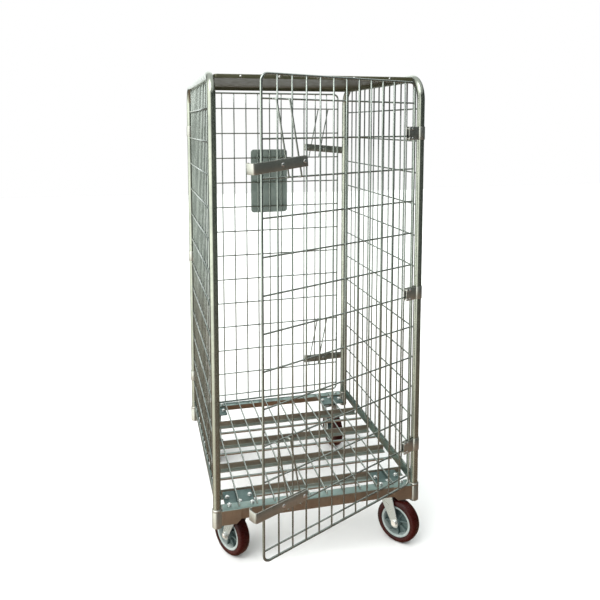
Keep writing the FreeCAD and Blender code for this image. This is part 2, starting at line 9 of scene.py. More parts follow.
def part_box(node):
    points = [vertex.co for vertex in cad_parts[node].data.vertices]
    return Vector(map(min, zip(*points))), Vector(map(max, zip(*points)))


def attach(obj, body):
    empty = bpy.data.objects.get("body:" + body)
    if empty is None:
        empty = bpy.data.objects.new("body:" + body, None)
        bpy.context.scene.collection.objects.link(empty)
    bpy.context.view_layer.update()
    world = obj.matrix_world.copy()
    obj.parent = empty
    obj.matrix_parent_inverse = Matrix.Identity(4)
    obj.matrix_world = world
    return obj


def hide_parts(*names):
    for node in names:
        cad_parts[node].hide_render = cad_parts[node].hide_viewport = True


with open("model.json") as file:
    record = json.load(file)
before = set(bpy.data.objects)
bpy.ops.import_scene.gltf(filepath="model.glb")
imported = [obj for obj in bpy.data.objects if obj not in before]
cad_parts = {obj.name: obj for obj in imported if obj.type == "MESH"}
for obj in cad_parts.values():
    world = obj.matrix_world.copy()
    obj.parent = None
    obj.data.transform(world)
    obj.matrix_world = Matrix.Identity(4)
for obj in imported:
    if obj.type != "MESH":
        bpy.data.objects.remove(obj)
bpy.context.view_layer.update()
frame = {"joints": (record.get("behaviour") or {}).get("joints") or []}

# Roll cage container. Lengths are in metres; MM turns a size in millimetres into metres.
MM = 0.001
JOINTS = {joint["name"]: joint for joint in frame["joints"]}
UP = Vector((0, 0, 1))
ACROSS = Vector((1, 0, 0))
BACK = Vector((0, 1, 0))
noise = random.Random(7)

# Sizes that the frame's boxes don't give. Each wire size is a radius.
WIRE = 2.75 * MM
RING_WIRE = 4 * MM
DECK_WIRE = 3 * MM
GUIDE_WIRE = 2.7 * MM
ROW_PITCH = 112.5 * MM
EVEN_ROWS = 12
DECK_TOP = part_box("front_beam")[1].z

# A weld nugget's half length and radius where two mesh wires cross.
CROSSING_WELD = (2.6 * MM, 2.1 * MM)

# How finely round shapes are divided, the angle above which an edge is sharp, and the radius
# that a turned shape keeps where it meets its axis.
WIRE_SIDES = 14
ROD_SIDES = 24
TUBE_SIDES = 40
WELD_SIDES = 8
SHARP_ANGLE = math.radians(38)
POINT_R = 1e-5


# ---------------------------------------------------------------- mesh tools

def add_to_scene(name, data):
    """Link a new object that holds some data."""
    made = bpy.data.objects.new(name, data)
    bpy.context.scene.collection.objects.link(made)
    return made


class Shape:
    """Collects mesh parts, each moved by one matrix, into a single piece."""

    def __init__(self, matrix=None):
        self.matrix = matrix or Matrix.Identity(4)
        self.verts = []
        self.faces = []

    def add(self, verts, faces):
        start = len(self.verts)
        self.verts.extend(self.matrix @ Vector(vert) for vert in verts)
        self.faces.extend([start + index for index in face] for face in faces)

    def rings(self, rings, closed=False, caps=True):
        """Join rings of equally many points, in order."""
        count = len(rings[0])
        verts = [point for ring in rings for point in ring]
        faces = []
        spans = len(rings) if closed else len(rings) - 1
        for step in range(spans):
            low = step * count
            high = (step + 1) % len(rings) * count
            for side in range(count):
                other = (side + 1) % count
                faces.append([low + side, low + other, high + other, high + side])
        if caps and not closed:
            faces.append([index for index in reversed(range(count))])
            faces.append([(len(rings) - 1) * count + index for index in range(count)])
        self.add(verts, faces)

    def sweep(self, path, section, normal=UP, closed=False, scales=None):
        """Carry a section of (side, up) offsets along a path; up follows normal."""
        points = [Vector(point) for point in path]
        count = len(points)
        up = Vector(normal).normalized()
        rings = []
        for index, point in enumerate(points):
            before = points[index - 1] if closed or index > 0 else point
            after = points[(index + 1) % count] if closed or index < count - 1 else point
            ahead = (after - before).normalized()
            up = (up - ahead * up.dot(ahead)).normalized()
            side = ahead.cross(up)
            scale = scales[index] if scales else 1
            turn = 1
            if before != point and after != point:
                bend = (point - before).normalized().dot((after - point).normalized())
                turn = 1 / math.sqrt(max(0.2, (1 + bend) / 2))
            rings.append([point + side * across * scale * turn + up * rise * scale
                          for across, rise in section])
        self.rings(rings, closed=closed)

    def tube(self, path, radius, sides=WIRE_SIDES, closed=False, normal=UP):
        """A round bar along a path, its free ends slightly rounded."""
        section = circle_section(radius, sides)
        if closed:
            self.sweep(path, section, normal, closed=True)
            return
        points = [Vector(point) for point in path]
        chamfer = radius * 0.25
        first = (points[1] - points[0]).normalized() * chamfer
        last = (points[-1] - points[-2]).normalized() * chamfer
        points = [points[0], points[0] + first] + points[1:-1] + [points[-1] - last, points[-1]]
        scales = [0.8] + [1] * (len(points) - 2) + [0.8]
        self.sweep(points, section, normal, scales=scales)

    def turn(self, profile, centre, axis, sides=48, closed=False):
        """Turn a profile of (radius, along) points round an axis."""
        axis = Vector(axis).normalized()
        side = axis.orthogonal().normalized()
        other = axis.cross(side)
        rings = []
        for radius, along in profile:
            ring = []
            for step in range(sides):
                angle = 2 * math.pi * step / sides
                spoke = side * math.cos(angle) + other * math.sin(angle)
                ring.append(Vector(centre) + axis * along + spoke * max(radius, POINT_R))
            rings.append(ring)
        self.rings(rings, closed=closed)

    def slab(self, outline, low, high, plane, bevel=0.5 * MM):
        """A plate: an outline in a plane of (origin, right, up), thick along its normal."""
        origin, right, up = (Vector(part) for part in plane)
        normal = right.cross(up)
        inner = inset(outline, bevel)
        rings = []
        for points, depth in ((inner, low), (outline, low + bevel), (outline, high - bevel),
                              (inner, high)):
            rings.append([origin + right * x + up * y + normal * depth for x, y in points])
        self.rings(rings)

    def nugget(self, centre, along, length, radius):
        """A small smooth lump of weld."""
        steps = 6
        angles = [math.pi * step / steps for step in range(steps + 1)]
        profile = [(radius * math.sin(angle), -length * math.cos(angle)) for angle in angles]
        self.turn(profile, centre, along, sides=WELD_SIDES)

    def bead(self, start, end, radius):
        """A weld bead: a row of overlapping ripples from start to end."""
        start = Vector(start)
        end = Vector(end)
        ripple = radius * 0.5
        steps = max(4, int((end - start).length / ripple))
        path = [start.lerp(end, step / steps) for step in range(steps + 1)]
        scales = [radius * (0.85 + 0.2 * noise.random() + 0.12 * (step % 2))
                  for step in range(steps + 1)]
        scales[0] = scales[-1] = radius * 0.4
        self.sweep(path, circle_section(1, WELD_SIDES), scales=scales)

    def piece(self, name, material, body, replaced=()):
        """Finish the mesh as a Blender object that rides on a body."""
        mesh = bpy.data.meshes.new(name)
        mesh.from_pydata(self.verts, [], self.faces)
        mesh.validate()
        mesh.polygons.foreach_set("use_smooth", [True] * len(mesh.polygons))
        mesh.set_sharp_from_angle(angle=SHARP_ANGLE)
        mesh.update()
        mesh.materials.append(material)
        made = add_to_scene(name, mesh)
        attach(made, body)
        if replaced:
            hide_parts(*replaced)


def circle_section(radius, sides):
    """Points round a circle."""
    return [(radius * math.cos(2 * math.pi * step / sides),
             radius * math.sin(2 * math.pi * step / sides)) for step in range(sides)]


def strip_section(thick, width, corner=0.4 * MM):
    """A flat strip's section with slightly rounded corners: (side, up) offsets."""
    points = []
    for side, rise, start in ((1, 1, 0), (-1, 1, 90), (-1, -1, 180), (1, -1, 270)):
        for step in range(3):
            angle = math.radians(start + 45 * step)
            points.append((side * (thick / 2 - corner) + corner * math.cos(angle),
                           rise * (width / 2 - corner) + corner * math.sin(angle)))
    return points


def inset(outline, amount):
    """A closed outline moved inwards by an amount, corner by corner."""
    points = [Vector(point) for point in outline]
    area = sum(points[index - 1].cross(points[index]) for index in range(len(points)))
    way = 1 if area > 0 else -1
    moved = []
    for index, point in enumerate(points):
        before = (point - points[index - 1]).normalized()
        after = (points[(index + 1) % len(points)] - point).normalized()
        normal = Vector((-before.y - after.y, before.x + after.x)) * way
        length = max(normal.length, 1e-6)
        reach = amount / max(0.35, length / 2)
        moved.append(tuple(point + normal / length * reach))
    return moved


def bent(points, radius, steps=8, closed=False):
    """A polyline whose corners become arcs of one radius, or a list of radii."""
    corners = [Vector(point) for point in points]
    count = len(corners)
    radii = radius if isinstance(radius, (list, tuple)) else [radius] * count
    path = []
    for index, corner in enumerate(corners):
        at_end = not closed and index in (0, count - 1)
        if at_end or radii[index] == 0:
            path.append(corner)
            continue
        back = (corners[index - 1] - corner).normalized()
        ahead = (corners[(index + 1) % count] - corner).normalized()
        half = back.angle(ahead) / 2
        middle = corner + (back + ahead).normalized() * (radii[index] / math.sin(half))
        start = corner + back * (radii[index] / math.tan(half)) - middle
        end = corner + ahead * (radii[index] / math.tan(half)) - middle
        swing = math.pi - 2 * half
        for step in range(steps + 1):
            part = step / steps
            share = (math.sin((1 - part) * swing) * start + math.sin(part * swing) * end)
            path.append(middle + share / math.sin(swing))
    return path


def rounded_outline(points, radius, steps=6):
    """A flat closed outline with rounded corners, of one radius or a list of radii."""
    lifted = [Vector((x, y, 0)) for x, y in points]
    return [(point.x, point.y) for point in bent(lifted, radius, steps, closed=True)]


def rectangle(left, right, low, high):
    """The four corners of a rectangle, in order."""
    return [(left, low), (right, low), (right, high), (left, high)]


def dome(radius, height):
    """Profile of a domed rivet head that sits on a face: a short rim, then an arc."""
    profile = [(radius, 0)]
    steps = 5
    rim = 0.15
    for step in range(steps + 1):
        angle = math.pi / 2 * step / steps
        profile.append((radius * math.cos(angle), height * (rim + (1 - rim) * math.sin(angle))))
    return profile


def hexagon(shape, centre, axis, radius, height, turn=0):
    """A nut or bolt head with chamfered corners, radius out to a corner."""
    axis = Vector(axis).normalized()
    side = axis.orthogonal().normalized()
    other = axis.cross(side)
    count = 24
    half = math.pi / 6
    rings = []
    # Each level's greatest share of the radius, and its share of the height.
    for scale, along in ((0.84, 0), (0.9, 0), (1, 0.12), (1, 0.86), (0.9, 1), (0.55, 1)):
        ring = []
        for step in range(count):
            angle = 2 * math.pi * step / count + turn
            flat = math.cos(half) / math.cos((angle - turn) % (2 * half) - half)
            reach = radius * min(flat, scale if scale < 1 else flat)
            spoke = side * math.cos(angle) + other * math.sin(angle)
            ring.append(Vector(centre) + axis * along * height + spoke * reach)
        rings.append(ring)
    shape.rings(rings)


def in_mm(points):
    """Points in metres from points in millimetres."""
    return [(across * MM, along * MM) for across, along in points]


def mirrored(points):
    """A profile from its upper half: the half, and its mirror image in reverse."""
    return points + [(across, -along) for across, along in reversed(points)]


# ---------------------------------------------------------------- materials

def link(tree, source, output, target, socket):
    tree.links.new(source.outputs[output], target.inputs[socket])


def add_node(tree, kind, **values):
    """Add a shader node and set inputs; From_Min stands for the socket "From Min"."""
    node = tree.nodes.new("ShaderNode" + kind)
    for socket, value in values.items():
        node.inputs[socket.replace("_", " ")].default_value = value
    return node


def add_mix(tree, **values):
    """Add a node that mixes two colours."""
    node = tree.nodes.new("ShaderNodeMix")
    node.data_type = "RGBA"
    for socket, value in values.items():
        node.inputs[socket].default_value = value
    return node


def metal(name, light, dark, rough=(0.28, 0.5), grain=60, metallic=0.9, bump=0.12, patch=7,
          painted_top_colour=None, wear=0.35):
    """Plated steel, from its light and dark colours and its lowest and highest roughness."""
    material = bpy.data.materials.new(name)
    material.use_nodes = True
    tree = material.node_tree
    shader = tree.nodes["Principled BSDF"]
    shader.inputs["Metallic"].default_value = metallic
    place = tree.nodes.new("ShaderNodeTexCoord")

    # Cloudy colour, from dark to light.
    clouds = add_node(tree, "TexNoise", Scale=patch, Detail=6, Roughness=0.62)
    link(tree, place, "Object", clouds, "Vector")
    tones = tree.nodes.new("ShaderNodeValToRGB")
    for element, position, colour in zip(tones.color_ramp.elements, (0.34, 0.66), (dark, light)):
        element.position = position
        element.color = (*colour, 1)
    link(tree, clouds, "Fac", tones, "Fac")
    last = tones
    socket = "Color"

    # Another colour on faces that look up: painted light, standing in for what these faces
    # reflect.
    if painted_top_colour is not None:
        shape = tree.nodes.new("ShaderNodeNewGeometry")
        split = tree.nodes.new("ShaderNodeSeparateXYZ")
        link(tree, shape, "Normal", split, "Vector")
        painted_top_mask = add_node(tree, "MapRange", From_Min=0.35, From_Max=0.75)
        link(tree, split, "Z", painted_top_mask, "Value")
        top = add_mix(tree, B=(*painted_top_colour, 1))
        link(tree, painted_top_mask, "Result", top, "Factor")
        link(tree, tones, "Color", top, "A")
        last = top
        socket = "Result"

    # Small worn spots in a duller tint.
    spots = add_node(tree, "TexNoise", Scale=grain * 2.4, Detail=4)
    link(tree, place, "Object", spots, "Vector")
    worn = add_node(tree, "MapRange", From_Min=0.56, From_Max=0.74, To_Min=0, To_Max=wear)
    link(tree, spots, "Fac", worn, "Value")
    tint = add_mix(tree, B=(dark[0] * 0.62, dark[1] * 0.6, dark[2] * 0.56, 1))
    link(tree, worn, "Result", tint, "Factor")
    link(tree, last, socket, tint, "A")
    link(tree, tint, "Result", shader, "Base Color")

    # Uneven polish.
    polish = add_node(tree, "TexNoise", Scale=grain, Detail=5)
    link(tree, place, "Object", polish, "Vector")
    rough_range = add_node(tree, "MapRange", From_Min=0.3, From_Max=0.7, To_Min=rough[0],
                           To_Max=rough[1])
    link(tree, polish, "Fac", rough_range, "Value")
    link(tree, rough_range, "Result", shader, "Roughness")

    # Fine grain.
    relief = add_node(tree, "Bump", Strength=bump, Distance=0.4 * MM)
    link(tree, spots, "Fac", relief, "Height")
    link(tree, relief, "Normal", shader, "Normal")
    return material


def moulded(name, light, dark, rough, gloss=0.5, grain=220, bump=0.1):
    """A moulded plastic or rubber: mottled colour, fine skin texture, scuffs."""
    material = metal(name, light, dark, rough, grain, 0.0, bump, patch=22, wear=0.25)
    shader = material.node_tree.nodes["Principled BSDF"]
    shader.inputs["Specular IOR Level"].default_value = gloss
    return material


TUBE = metal("zinc_tube", (0.40, 0.42, 0.36), (0.29, 0.31, 0.27), (0.12, 0.24), 45)
MESH_WIRE = metal("zinc_wire", (0.38, 0.42, 0.39), (0.25, 0.28, 0.26), (0.13, 0.26), 90)
STRIP = metal("zinc_strip", (0.52, 0.52, 0.48), (0.38, 0.39, 0.36), (0.26, 0.42), 55)
# Beams, gussets, plugs, cross bars and tie rods: their brown tone is a painted reflection of the
# brown ground, and their colour on faces that look up is a painted reflection on their tops.
SECTION = metal("zinc_section", (0.48, 0.39, 0.30), (0.34, 0.28, 0.22), (0.28, 0.46), 40,
                painted_top_colour=(0.20, 0.27, 0.25))
BAR = metal("zinc_bar", (0.56, 0.47, 0.38), (0.38, 0.32, 0.26), (0.32, 0.48), 40,
            painted_top_colour=(0.26, 0.32, 0.30))
PLATE = metal("galvanised_plate", (0.12, 0.18, 0.17), (0.07, 0.11, 0.105), (0.36, 0.55), 30,
              patch=14)
PRESSING = metal("zinc_pressing", (0.44, 0.47, 0.46), (0.34, 0.37, 0.36), (0.24, 0.38), 50,
                 metallic=0.7)
RAIL = metal("zinc_rail", (0.27, 0.37, 0.34), (0.18, 0.27, 0.25), (0.26, 0.4), 40)
FASTENER = metal("zinc_fastener", (0.80, 0.81, 0.80), (0.62, 0.63, 0.62), (0.18, 0.3), 120)
WELD = metal("weld", (0.40, 0.39, 0.36), (0.22, 0.20, 0.18), (0.32, 0.55), 200, bump=0.4)
# The roof's lighter colour on faces that look up is painted light on its top.
ROOF = metal("roof_sheet", (0.095, 0.092, 0.050), (0.060, 0.060, 0.034), (0.38, 0.55), 35,
             metallic=0.5, patch=4, painted_top_colour=(0.34, 0.36, 0.34))
HOLDER = moulded("holder_sheet", (0.25, 0.30, 0.27), (0.18, 0.22, 0.20), (0.4, 0.55))
# The bands' darker tone is painted shade, standing in for dark stripes of shade on the holder.
HOLDER_BAND_SHADE = moulded("holder_band", (0.16, 0.20, 0.18), (0.11, 0.14, 0.13), (0.4, 0.55))
CORE = moulded("wheel_core", (0.085, 0.12, 0.115), (0.05, 0.075, 0.075), (0.3, 0.45), 0.3)
CORE_RIM = moulded("wheel_rim", (0.34, 0.38, 0.37), (0.24, 0.29, 0.28), (0.28, 0.42), 0.6)
TREAD = moulded("tread", (0.044, 0.005, 0.0035), (0.018, 0.0025, 0.002), (0.22, 0.36), 0.15)
BEARING = metal("bearing_steel", (0.50, 0.51, 0.51), (0.26, 0.26, 0.26), (0.18, 0.3), 80)


# ---------------------------------------------------------------- chassis

def middle(node):
    """Centre of a node's box."""
    low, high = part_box(node)
    return (low + high) / 2


POST_R = (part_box("left_side_frame")[1].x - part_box("left_side_frame")[0].x) / 2
POST_X = middle("right_side_frame").x
POST_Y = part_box("right_side_frame")[1].y - POST_R
SOCKET_LOW, SOCKET_HIGH = (corner.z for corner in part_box("post_sockets"))
SOCKET_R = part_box("post_sockets")[1].x - POST_X
BEAM_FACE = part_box("rear_beam")[1].y
BEAM_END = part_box("rear_beam")[1].x
CORNERS = [(side, end) for side in (-1, 1) for end in (-1, 1)]


def build_beams():
    """The angle-section cross beams: web outside, flange on top."""
    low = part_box("front_beam")[0].z
    flange = BEAM_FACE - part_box("rear_beam")[0].y
    web = DECK_TOP - low
    thick = 4 * MM
    outline = rounded_outline([(0, 0), (0, web), (-flange, web), (-flange, web - thick),
                               (-thick, web - thick), (-thick, 0)],
                              [0.6 * MM, 3 * MM, 0.6 * MM, 0.6 * MM, 2 * MM, 0.6 * MM], 4)
    for node, end in (("front_beam", -1), ("rear_beam", 1)):
        beam = Shape()
        beam.rings([[Vector((across, end * (BEAM_FACE + x), low + y)) for x, y in outline]
                    for across in (-BEAM_END, BEAM_END)])
        beam.piece(node + "_profile", SECTION, "cage", [node])


def build_sockets():
    """Post sockets: chamfered sleeves with a groove under the lip, and a plug in each foot."""
    height = SOCKET_HIGH - SOCKET_LOW
    bore = POST_R + 0.05 * MM
    lip = SOCKET_R - 1.2 * MM
    groove = SOCKET_R - 0.5 * MM
    sleeve = [(bore, 0), (lip, 0), (SOCKET_R, 1.5 * MM), (SOCKET_R, height - 10 * MM),
              (groove, height - 8.5 * MM), (groove, height - 7.5 * MM),
              (SOCKET_R, height - 6 * MM), (SOCKET_R, height - 1.5 * MM), (lip, height),
              (bore, height)]
    plug = [(0, 2.5 * MM), (bore, 2.5 * MM), (bore, 4.5 * MM), (0, 4.5 * MM)]
    sleeves = Shape()
    plugs = Shape()
    for side, end in CORNERS:
        foot = (side * POST_X, end * POST_Y, SOCKET_LOW)
        sleeves.turn(sleeve, foot, UP, closed=True)
        plugs.turn(plug, foot, UP)
    sleeves.piece("socket_sleeves", STRIP, "cage", ["post_sockets"])
    plugs.piece("socket_plugs", SECTION, "cage")


def build_gussets():
    """Corner gussets on the beams' faces, and the weld beads of the gussets and beams."""
    low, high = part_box("corner_gussets")
    inner = 279 * MM
    chamfer = 16 * MM
    thick = high.y - BEAM_FACE
    outline = [(inner, high.z), (inner, low.z + chamfer), (inner + chamfer, low.z),
               (high.x, low.z), (high.x, high.z)]
    plates = Shape()
    beads = Shape()
    for side, end in CORNERS:
        plane = ((0, end * BEAM_FACE, 0), (side, 0, 0), (0, 0, 1))
        start, stop = (0, thick) if side * end < 0 else (-thick, 0)
        plates.slab(outline, start, stop, plane, 0.6 * MM)

        # Up the gusset's inner edge, up its outer edge, and along the beam's end.
        x = side * (inner - 0.5 * MM)
        y = end * (BEAM_FACE + 0.6 * MM)
        beads.bead((x, y, low.z + chamfer + 3 * MM), (x, y, high.z - 2 * MM), 2 * MM)
        x = side * (high.x + 1 * MM)
        y = end * (BEAM_FACE + 1 * MM)
        beads.bead((x, y, low.z + 2 * MM), (x, y, high.z - 2 * MM), 2.2 * MM)
        x = side * (BEAM_END - 0.6 * MM)
        beads.bead((x, end * (BEAM_FACE - 36 * MM), DECK_TOP),
                   (x, end * (BEAM_FACE - 6 * MM), DECK_TOP), 2 * MM)
    plates.piece("gusset_plates", SECTION, "cage", ["corner_gussets"])
    beads.piece("chassis_welds", WELD, "cage")


def build_cross_bars():
    """The deck's angle-section cross bars; returns the Y of each one's upright leg."""
    low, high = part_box("deck_cross_bars")
    leg = high.z - low.z
    thick = 3 * MM
    count = 4
    pitch = (high.y - low.y - leg) / (count - 1)
    outline = rounded_outline([(0, 0), (-leg, 0), (-leg, thick), (-thick, thick), (-thick, leg),
                               (0, leg)],
                              [2.5 * MM, 0.6 * MM, 1 * MM, 2 * MM, 1 * MM, 0.6 * MM], 4)
    bars = Shape()
    legs = []
    for step in range(count):
        back = low.y + leg + step * pitch
        bars.rings([[Vector((across, back + x, low.z + y)) for x, y in outline]
                    for across in (low.x, high.x)])
        legs.append(back - thick / 2)
    bars.piece("cross_bar_profiles", BAR, "cage", ["deck_cross_bars"])
    return legs


def build_tie_rods():
    """Round bars between the side rails, and a shorter one between the front corner plates."""
    low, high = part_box("deck_tie_rods")
    radius = (high.z - low.z) / 2
    height = (high.z + low.z) / 2
    short = 224.5 * MM
    ties = Shape()
    for left, right, back in ((low.x, high.x, 148 * MM), (low.x, high.x, -36 * MM),
                              (low.x, high.x, -220 * MM), (-short, short, -360 * MM)):
        ties.tube([(left, back, height), (right, back, height)], radius, ROD_SIDES)
    ties.piece("tie_rods", BAR, "cage", ["deck_tie_rods"])


def build_deck_wires(legs):
    """Front-to-back wires, welded on each cross bar's leg and twice on each beam."""
    low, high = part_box("deck_wires")
    count = 10
    pitch = (high.x - low.x - 2 * DECK_WIRE) / (count - 1)
    rest = low.z + DECK_WIRE
    bar_weld = (3.2 * MM, 3.4 * MM)
    beam_weld = (5 * MM, 3.4 * MM)
    wires = Shape()
    welds = Shape()
    for step in range(count):
        across = low.x + DECK_WIRE + step * pitch
        wires.tube([(across, low.y, rest), (across, high.y, rest)], DECK_WIRE, 16)
        for leg in legs:
            welds.nugget((across, leg, DECK_TOP), BACK, *bar_weld)
        for end in (-1, 1):
            for depth in (22 * MM, 44 * MM):
                welds.nugget((across, end * (BEAM_FACE - depth), DECK_TOP), BACK, *beam_weld)
    wires.piece("deck_wire_bars", MESH_WIRE, "cage", ["deck_wires"])
    welds.piece("deck_welds", WELD, "cage")


def build_side_rails():
    """The flat bars on edge that join the sockets front to back."""
    nodes = ["left_side_rail", "right_side_rail"]
    rails = Shape()
    for node in nodes:
        low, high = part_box(node)
        centre = middle(node)
        outline = strip_section(high.x - low.x, high.z - low.z, 1 * MM)
        rails.rings([[Vector((centre.x + x, back, centre.z + rise)) for x, rise in outline]
                     for back in (low.y, high.y)])
    rails.piece("side_rails", RAIL, "cage", nodes)


# ---------------------------------------------------------------- side frames, mesh and roof

FRAME_BEND = 80 * MM
SIDES = (("left", -1), ("right", 1))


def build_side_frames():
    """The bent tubes, with a weld ring where each post enters its socket."""
    low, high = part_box("right_side_frame")
    top = high.z - POST_R
    bead = 1.5 * MM
    count = 48
    rings = Shape()
    for word, side in SIDES:
        node = word + "_side_frame"
        x = side * POST_X
        path = bent([(x, -POST_Y, low.z), (x, -POST_Y, top), (x, POST_Y, top),
                     (x, POST_Y, low.z)], FRAME_BEND, 16)
        tube = Shape()
        tube.sweep(path, circle_section(POST_R, TUBE_SIDES), ACROSS)
        tube.piece(node + "_tube", TUBE, "cage", [node])
        for end in (-1, 1):
            centre = Vector((x, end * POST_Y, SOCKET_HIGH))
            path = [centre + Vector((across, back, 0))
                    for across, back in circle_section(POST_R + 0.6 * MM, count)]
            scales = [bead * (0.9 + 0.2 * noise.random()) for _ in path]
            rings.sweep(path, circle_section(1, WELD_SIDES), UP, closed=True, scales=scales)
    rings.piece("socket_weld_rings", WELD, "cage")


def row_heights(first, last):
    """Heights of a mesh's rows: the even ones from the first down, and the last one."""
    return [first - step * ROW_PITCH for step in range(EVEN_ROWS)] + [last]


def build_side_mesh():
    """Rows and uprights of both sides, with a weld nugget at every crossing."""
    straight = POST_Y - FRAME_BEND
    inside = FRAME_BEND - math.sqrt(POST_R ** 2 - WIRE ** 2)
    count = 14
    upright_weld = (3 * MM, 3.4 * MM)
    row_weld = (2.5 * MM, 4 * MM)
    for word, side in SIDES:
        row_low, row_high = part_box(word + "_side_rows")
        low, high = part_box(word + "_side_uprights")
        heights = row_heights(row_high.z - WIRE, row_low.z + WIRE)
        row_x = middle(word + "_side_rows").x
        upright_x = middle(word + "_side_uprights").x
        rows = Shape()
        for height in heights:
            rows.tube([(row_x, row_low.y, height), (row_x, row_high.y, height)], WIRE)
        rows.piece(word + "_side_row_wires", MESH_WIRE, "cage",
                   [word + "_side_rows"])

        # An upright beyond the frame's straight top ends lower, inside the bend.
        uprights = Shape()
        welds = Shape()
        pitch = (high.y - low.y - 2 * WIRE) / (count - 1)
        for step in range(count):
            back = low.y + WIRE + step * pitch
            past = max(0, abs(back) - straight)
            top = high.z - (inside - math.sqrt(inside ** 2 - past ** 2))
            uprights.tube([(upright_x, back, low.z), (upright_x, back, top)], WIRE,
                          normal=ACROSS)
            for height in heights:
                welds.nugget((side * POST_X, back, height), UP, *CROSSING_WELD)
            for place in (low.z + 1 * MM, top):
                welds.nugget((upright_x, back, place), UP, *upright_weld)
        for height in heights:
            for end in (-1, 1):
                welds.nugget((row_x, end * (POST_Y - POST_R), height), BACK, *row_weld)
        uprights.piece(word + "_side_upright_wires", MESH_WIRE, "cage",
                       [word + "_side_uprights"])
        welds.piece(word + "_side_welds", MESH_WIRE, "cage")


def build_roof():
    """The pressed roof tray with its turned-down lips, and their domed rivets."""
    low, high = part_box("roof_panel")
    sheet = 2 * MM
    edge = 3 * MM
    lip = high.z - low.z
    burr = 0.5 * MM
    corner = 9 * MM

    # How far in from the tray's outer edge, and how far down from its top, each ring lies.
    levels = [(edge * 8, 0), (edge, 0), (edge * 0.3, edge * 0.3), (0, edge), (0, lip - burr),
              (burr, lip), (sheet - burr, lip), (sheet, lip - burr), (sheet, edge * 1.4),
              (edge * 1.4, sheet)]
    rings = []
    for reach, depth in levels:
        outline = rounded_outline(rectangle(low.x + reach, high.x - reach, low.y + reach,
                                            high.y - reach), corner, 5)
        rings.append([Vector((x, y, high.z - depth)) for x, y in outline])
    tray = Shape()
    tray.rings(rings)
    tray.piece("roof_tray", ROOF, "cage", ["roof_panel"])

    rivet_low, rivet_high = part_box("roof_rivets")
    radius = (rivet_high.z - rivet_low.z) / 2
    height = (rivet_low.z + rivet_high.z) / 2
    count = 5
    pitch = (rivet_high.x - rivet_low.x - 2 * radius) / (count - 1)
    rivets = Shape()
    for face, way in ((low.y, -BACK), (high.y, BACK)):
        for step in range(count):
            centre = Vector((rivet_low.x + radius + step * pitch, face, height))
            rivets.turn(dome(radius, 2 * MM), centre, way, 20)
    rivets.piece("roof_rivet_heads", FASTENER, "cage", ["roof_rivets"])


# ---------------------------------------------------------------- doors

RING_NEAR = 32 * MM
RING_FAR = 698 * MM
FIRST_ROW = 1598 * MM
LOW_ROW = 257 * MM
LEAN = math.radians(11.5)


def door_matrix(word):
    """The door's own frame: hinge axis at the origin, X along the door, Y outwards."""
    hinge = JOINTS[word + "_door_hinge"]["pos_m"]
    slide = JOINTS[word + "_upper_latch_slide"]["axis"]
    angle = math.atan2(slide[1], slide[0])
    return Matrix.Translation((hinge[0], hinge[1], 0)) @ Matrix.Rotation(angle, 4, "Z")


def build_door_mesh(word):
    """The door's bent ring, its rows behind and uprights in front, welded together."""
    matrix = door_matrix(word)
    body = word + "_door"
    low, high = (corner.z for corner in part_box(body + "_frame"))
    low += RING_WIRE
    high -= RING_WIRE
    bend = 22 * MM
    path = bent([(RING_NEAR, 0, low), (RING_NEAR, 0, high), (RING_FAR, 0, high),
                 (RING_FAR, 0, low)], bend, 10, closed=True)
    ring = Shape(matrix)
    ring.tube(path, RING_WIRE, 20, closed=True, normal=BACK)
    ring.nugget(((RING_NEAR + RING_FAR) / 2, 0, low), ACROSS, 7 * MM, 4.6 * MM)
    ring.piece(body + "_ring", MESH_WIRE, body, [body + "_frame"])

    # Wires stop inside the ring wire, and a weld covers each end.
    stop = 3.2 * MM
    seat = 3 * MM
    end_weld = (4 * MM, 3.1 * MM)
    heights = row_heights(FIRST_ROW, LOW_ROW)
    bays = 12
    pitch = (RING_FAR - RING_NEAR) / bays
    rows = Shape(matrix)
    uprights = Shape(matrix)
    welds = Shape(matrix)
    for height in heights:
        rows.tube([(RING_NEAR + stop, -WIRE, height), (RING_FAR - stop, -WIRE, height)], WIRE)
        for along in (RING_NEAR + seat, RING_FAR - seat):
            welds.nugget((along, -2 * MM, height), ACROSS, *end_weld)
    for step in range(1, bays):
        along = RING_NEAR + step * pitch
        uprights.tube([(along, WIRE, low + stop), (along, WIRE, high - stop)], WIRE,
                      normal=BACK)
        for height in heights:
            welds.nugget((along, 0, height), UP, *CROSSING_WELD)
        for height in (low + seat, high - seat):
            welds.nugget((along, 2 * MM, height), UP, *end_weld)
    rows.piece(body + "_row_wires", MESH_WIRE, body, [body + "_rows"])
    uprights.piece(body + "_upright_wires", MESH_WIRE, body, [body + "_uprights"])
    welds.piece(body + "_welds", MESH_WIRE, body)


def add_rivet(shape, place, strips, thick, heads, shank, sides):
    """A rivet at (along, height) through the middles of a front and a rear strip."""
    along, height = place
    front, rear = strips
    shape.turn(heads[0], (along, front + thick / 2, height), BACK, sides)
    shape.turn(heads[1], (along, rear - thick / 2, height), -BACK, sides)
    shape.turn([(shank, 0), (shank, front - rear - thick)], (along, rear + thick / 2, height),
               BACK, 16)


